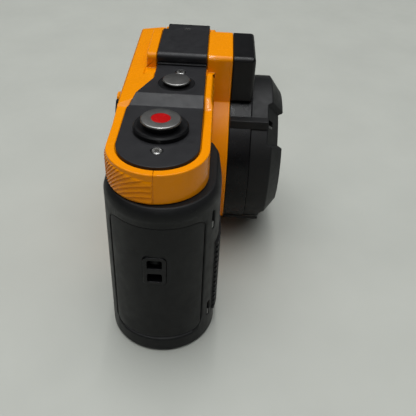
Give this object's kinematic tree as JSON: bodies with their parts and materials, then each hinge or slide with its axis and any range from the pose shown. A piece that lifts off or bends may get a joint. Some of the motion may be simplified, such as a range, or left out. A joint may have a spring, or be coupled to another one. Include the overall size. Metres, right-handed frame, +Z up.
{
  "type": "action camera",
  "caption": "Rugged waterproof hand-held camera with a side grip, a large round lens drum with a lobed guard, top push buttons, a rear display, a battery door and a port door.",
  "frame": {"origin": "mouth of the tripod socket in the base, straight under the lens axis, in the parting plane of the two body halves; z = 0 is the surface it stands on", "axes": "+X from the hand grip towards the far side of the body (lens axis at x = 0, grip at -x), +Y towards the display, the lens looks along -Y, +Z up"},
  "size_m": [0.1282, 0.0685, 0.09],
  "materials": {
    "orange_gloss": "gloss, smooth, slightly uneven moulded surface",
    "silicone": "soft matte silicone",
    "black_metal": "fine-grained satin black anodised sheet",
    "steel": "turned, slightly worn",
    "black_plastic": "fine spark texture",
    "guard_plastic": "coarser matte texture",
    "clear_plastic": "clear moulded window",
    "board": "green solder mask",
    "button_metal": "spun satin face with a bright chamfer",
    "red_enamel": "filled enamel",
    "spring_steel": "bright wire",
    "dark_glass": "polished, black backed",
    "panel": "dark glossy panel",
    "optical_glass": "coated optical glass",
    "barrel_metal": "flat black anodised",
    "grip_plastic": "matte, faint grain",
    "rubber": "soft fine-grained overmould",
    "gloss_black": "semi gloss",
    "grey_plastic": "matte",
    "battery_wrap": "shrink wrap",
    "brass": "machined"
  },
  "bodies": {
    "camera": {"front_shell": "orange_gloss", "rear_shell": "orange_gloss", "shell_gasket": "silicone", "port_seal": "silicone", "key_mat": "silicone", "spine_plate": "black_metal", "hump_saddle": "black_metal", "far_plate": "black_metal", "top_screws": "steel", "base_screws": "steel", "guard_clips": "steel", "grip_clips": "steel", "strap_bar": "steel", "door_pin": "steel", "port_pin": "steel", "rocker_pin": "steel", "hump_front_cover": "black_plastic", "record_collar": "black_plastic", "power_ring": "black_plastic", "lens_housing": "black_plastic", "port_bezel": "black_plastic", "strap_anchor": "black_plastic", "base_plate": "black_plastic", "port_block": "black_plastic", "display_frame": "black_plastic", "lens_guard": "guard_plastic", "corner_rails": "guard_plastic", "lamp_window": "clear_plastic", "lamp_board": "board", "sensor_board": "board", "main_board": "board", "record_spring": "spring_steel", "power_spring": "spring_steel", "display_glass": "dark_glass", "display_panel": "panel", "image_sensor": "panel", "front_glass": "optical_glass", "front_element": "optical_glass", "middle_element": "optical_glass", "rear_element": "optical_glass", "lens_barrel": "barrel_metal", "iris_plate": "barrel_metal", "grip_shell": "grip_plastic", "grip_wrap": "rubber", "finger_pad": "rubber", "key_panel": "gloss_black", "battery": "battery_wrap", "tripod_nut": "brass"},
    "record_button": {"record_stem": "black_plastic", "record_cap": "button_metal", "record_dot": "red_enamel"},
    "power_button": {"power_stem": "black_plastic", "power_cap": "button_metal"},
    "rocker": {"zoom_rocker": "black_plastic"},
    "menu_key": {"menu_key": "gloss_black"},
    "ok_key": {"ok_key": "gloss_black"},
    "play_key": {"play_key": "gloss_black"},
    "battery_door": {"battery_door": "black_plastic"},
    "door_latch": {"door_latch": "grey_plastic"},
    "port_door": {"port_door": "orange_gloss"}
  },
  "joints": [
    {"name": "record_press", "type": "slide", "parent": "camera", "child": "record_button", "axis": [0, 0, -1], "range_m": [0, 0.001], "stiffness_N_per_m": 300, "springref_m": -0.002, "deforming": ["record_spring"]},
    {"name": "power_press", "type": "slide", "parent": "camera", "child": "power_button", "axis": [0, 0, -1], "range_m": [0, 0.0007], "stiffness_N_per_m": 250, "springref_m": -0.0015, "deforming": ["power_spring"]},
    {"name": "zoom_rock", "type": "hinge", "parent": "camera", "child": "rocker", "pos_m": [-0.04505, 0.0168, 0.0764], "axis": [0, 0, 1], "range_deg": [-4, 4], "stiffness_Nm_per_rad": 0.02},
    {"name": "menu_press", "type": "slide", "parent": "camera", "child": "menu_key", "axis": [0, -1, 0], "range_m": [0, 0.0005], "stiffness_N_per_m": 200, "springref_m": -0.0005},
    {"name": "ok_press", "type": "slide", "parent": "camera", "child": "ok_key", "axis": [0, -1, 0], "range_m": [0, 0.0005], "stiffness_N_per_m": 200, "springref_m": -0.0005},
    {"name": "play_press", "type": "slide", "parent": "camera", "child": "play_key", "axis": [0, -1, 0], "range_m": [0, 0.0005], "stiffness_N_per_m": 200, "springref_m": -0.0005},
    {"name": "battery_door_swing", "type": "hinge", "parent": "camera", "child": "battery_door", "pos_m": [-0.0556, -0.0015, 0.0021], "axis": [0, -1, 0], "range_deg": [0, 95]},
    {"name": "latch_slide", "type": "slide", "parent": "battery_door", "child": "door_latch", "axis": [-1, 0, 0], "range_m": [0, 0.0025]},
    {"name": "port_door_swing", "type": "hinge", "parent": "camera", "child": "port_door", "pos_m": [0.0298, 0.0155, 0.041], "axis": [0, 0, 1], "range_deg": [0, 90]}
  ]
}
